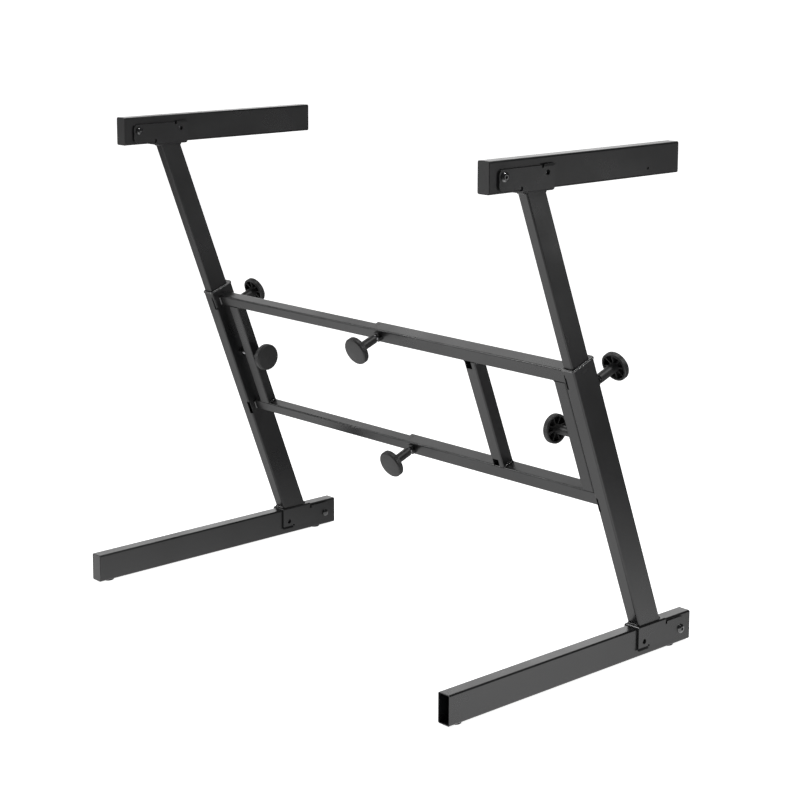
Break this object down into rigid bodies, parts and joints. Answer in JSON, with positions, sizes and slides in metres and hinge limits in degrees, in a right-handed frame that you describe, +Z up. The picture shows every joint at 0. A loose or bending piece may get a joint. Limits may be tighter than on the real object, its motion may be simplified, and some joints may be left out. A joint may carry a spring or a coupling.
{
  "type": "folding keyboard stand",
  "caption": "Folding keyboard stand with two leaning Z-shaped sides, level arms and legs, sliding crossbars, height slides and clamp knobs.",
  "frame": {"origin": "middle of the base on the floor, midway between the outer faces of the legs and between the legs' ends", "axes": "+X towards the side with the outer crossbars, +Y along the legs away from the player, +Z up"},
  "size_m": [0.9666, 0.5684, 0.852],
  "materials": {
    "powder_coat": "satin black powder coat",
    "black_plastic": "moulded, matte",
    "rubber": "matte",
    "black_steel": "black oxide",
    "zinc_steel": "zinc plated"
  },
  "bodies": {
    "right_frame": {"upright_outer_r": "powder_coat", "collar_r": "black_plastic", "base_bracket_r": "powder_coat", "leg_bolt_r": "black_steel", "bar_outer_upper": "powder_coat", "bar_outer_lower": "powder_coat", "bar_bushings": "black_plastic", "strut": "powder_coat", "post_r": "powder_coat", "knob_nuts_r": "powder_coat"},
    "left_frame": {"upright_outer_l": "powder_coat", "collar_l": "black_plastic", "base_bracket_l": "powder_coat", "leg_bolt_l": "black_steel", "bar_inner_upper": "powder_coat", "bar_inner_lower": "powder_coat", "bar_glides": "black_plastic", "post_l": "powder_coat", "knob_nuts_l": "powder_coat"},
    "slider_r": {"upright_inner_r": "powder_coat", "glide_r": "black_plastic", "top_bracket_r": "powder_coat", "arm_bolt_r": "black_steel"},
    "swing_arm_r": {"arm_r": "powder_coat", "arm_caps_r": "black_plastic", "arm_spring_r": "zinc_steel"},
    "lock_arm_r": {"arm_button_r": "black_steel"},
    "swing_leg_r": {"leg_r": "powder_coat", "leg_plug_r": "black_plastic", "leg_feet_r": "rubber", "leg_spring_r": "zinc_steel"},
    "lock_leg_r": {"leg_button_r": "black_steel"},
    "slider_l": {"upright_inner_l": "powder_coat", "glide_l": "black_plastic", "top_bracket_l": "powder_coat", "arm_bolt_l": "black_steel"},
    "swing_arm_l": {"arm_l": "powder_coat", "arm_caps_l": "black_plastic", "arm_spring_l": "zinc_steel"},
    "lock_arm_l": {"arm_button_l": "black_steel"},
    "swing_leg_l": {"leg_l": "powder_coat", "leg_plugs_l": "black_plastic", "leg_feet_l": "rubber", "leg_spring_l": "zinc_steel"},
    "lock_leg_l": {"leg_button_l": "black_steel"},
    "screw_bar_upper": {"stud_bar_upper": "zinc_steel"},
    "turn_bar_upper": {"knob_bar_upper": "black_plastic"},
    "screw_bar_lower": {"stud_bar_lower": "zinc_steel"},
    "turn_bar_lower": {"knob_bar_lower": "black_plastic"},
    "screw_back_r": {"stud_back_r": "zinc_steel"},
    "turn_back_r": {"knob_back_r": "black_plastic"},
    "screw_back_l": {"stud_back_l": "zinc_steel"},
    "turn_back_l": {"knob_back_l": "black_plastic"},
    "screw_side_r": {"stud_side_r": "zinc_steel"},
    "turn_side_r": {"knob_side_r": "black_plastic"},
    "screw_side_l": {"stud_side_l": "zinc_steel"},
    "turn_side_l": {"knob_side_l": "black_plastic"}
  },
  "joints": [
    {"name": "width_slide", "type": "slide", "parent": "right_frame", "child": "left_frame", "axis": [-1, 0, 0], "range_m": [-0.294, 0.06]},
    {"name": "height_slide_r", "type": "slide", "parent": "right_frame", "child": "slider_r", "axis": [0, -0.3551, 0.9348], "range_m": [-0.24, 0.085]},
    {"name": "arm_fold_r", "type": "hinge", "parent": "slider_r", "child": "swing_arm_r", "pos_m": [0.4585, -0.17975, 0.827], "axis": [1, 0, 0], "range_deg": [0, 290]},
    {"name": "arm_lock_r", "type": "slide", "parent": "swing_arm_r", "child": "lock_arm_r", "axis": [-1, 0, 0], "range_m": [0, 0.003], "stiffness_N_per_m": 400, "springref_m": -0.002},
    {"name": "leg_fold_r", "type": "hinge", "parent": "right_frame", "child": "swing_leg_r", "pos_m": [0.4585, 0.25575, 0.028], "axis": [1, 0, 0], "range_deg": [0, 284]},
    {"name": "leg_lock_r", "type": "slide", "parent": "swing_leg_r", "child": "lock_leg_r", "axis": [-1, 0, 0], "range_m": [0, 0.003], "stiffness_N_per_m": 400, "springref_m": -0.002},
    {"name": "height_slide_l", "type": "slide", "parent": "left_frame", "child": "slider_l", "axis": [0, -0.3551, 0.9348], "range_m": [-0.24, 0.085]},
    {"name": "arm_fold_l", "type": "hinge", "parent": "slider_l", "child": "swing_arm_l", "pos_m": [-0.4585, -0.17975, 0.827], "axis": [1, 0, 0], "range_deg": [0, 290]},
    {"name": "arm_lock_l", "type": "slide", "parent": "swing_arm_l", "child": "lock_arm_l", "axis": [1, 0, 0], "range_m": [0, 0.003], "stiffness_N_per_m": 400, "springref_m": -0.002},
    {"name": "leg_fold_l", "type": "hinge", "parent": "left_frame", "child": "swing_leg_l", "pos_m": [-0.4585, 0.25575, 0.028], "axis": [1, 0, 0], "range_deg": [0, 284]},
    {"name": "leg_lock_l", "type": "slide", "parent": "swing_leg_l", "child": "lock_leg_l", "axis": [1, 0, 0], "range_m": [0, 0.003], "stiffness_N_per_m": 400, "springref_m": -0.002},
    {"name": "advance_bar_upper", "type": "slide", "parent": "right_frame", "child": "screw_bar_upper", "axis": [0, -0.9348, -0.3551], "range_m": [0, 0.0045]},
    {"name": "turn_bar_upper", "type": "hinge", "parent": "screw_bar_upper", "child": "turn_bar_upper", "pos_m": [0, -0.01157, 0.48882], "axis": [0, -0.9348, -0.3551], "range_deg": [0, 1081]},
    {"name": "advance_bar_lower", "type": "slide", "parent": "right_frame", "child": "screw_bar_lower", "axis": [0, -0.9348, -0.3551], "range_m": [0, 0.0045]},
    {"name": "turn_bar_lower", "type": "hinge", "parent": "screw_bar_lower", "child": "turn_bar_lower", "pos_m": [0, 0.06993, 0.27428], "axis": [0, -0.9348, -0.3551], "range_deg": [0, 1081]},
    {"name": "advance_back_r", "type": "slide", "parent": "right_frame", "child": "screw_back_r", "axis": [0, 0.9348, 0.3551], "range_m": [0, 0.0045]},
    {"name": "turn_back_r", "type": "hinge", "parent": "screw_back_r", "child": "turn_back_r", "pos_m": [0.4585, 0.04444, 0.48218], "axis": [0, 0.9348, 0.3551], "range_deg": [0, 1081]},
    {"name": "advance_back_l", "type": "slide", "parent": "left_frame", "child": "screw_back_l", "axis": [0, 0.9348, 0.3551], "range_m": [0, 0.0045]},
    {"name": "turn_back_l", "type": "hinge", "parent": "screw_back_l", "child": "turn_back_l", "pos_m": [-0.4585, 0.04444, 0.48218], "axis": [0, 0.9348, 0.3551], "range_deg": [0, 1081]},
    {"name": "advance_side_r", "type": "slide", "parent": "right_frame", "child": "screw_side_r", "axis": [-1, 0, 0], "range_m": [0, 0.0045]},
    {"name": "turn_side_r", "type": "hinge", "parent": "screw_side_r", "child": "turn_side_r", "pos_m": [0.446, 0.05318, 0.3888], "axis": [-1, 0, 0], "range_deg": [0, 1081]},
    {"name": "advance_side_l", "type": "slide", "parent": "left_frame", "child": "screw_side_l", "axis": [1, 0, 0], "range_m": [0, 0.0045]},
    {"name": "turn_side_l", "type": "hinge", "parent": "screw_side_l", "child": "turn_side_l", "pos_m": [-0.446, 0.05318, 0.3888], "axis": [1, 0, 0], "range_deg": [0, 1081]}
  ],
  "couplings": [
    {"joint": "turn_bar_upper", "follows": "advance_bar_upper", "rad_per_m": 4188.8},
    {"joint": "turn_bar_lower", "follows": "advance_bar_lower", "rad_per_m": 4188.8},
    {"joint": "turn_back_r", "follows": "advance_back_r", "rad_per_m": 4188.8},
    {"joint": "turn_back_l", "follows": "advance_back_l", "rad_per_m": 4188.8},
    {"joint": "turn_side_r", "follows": "advance_side_r", "rad_per_m": 4188.8},
    {"joint": "turn_side_l", "follows": "advance_side_l", "rad_per_m": 4188.8}
  ]
}
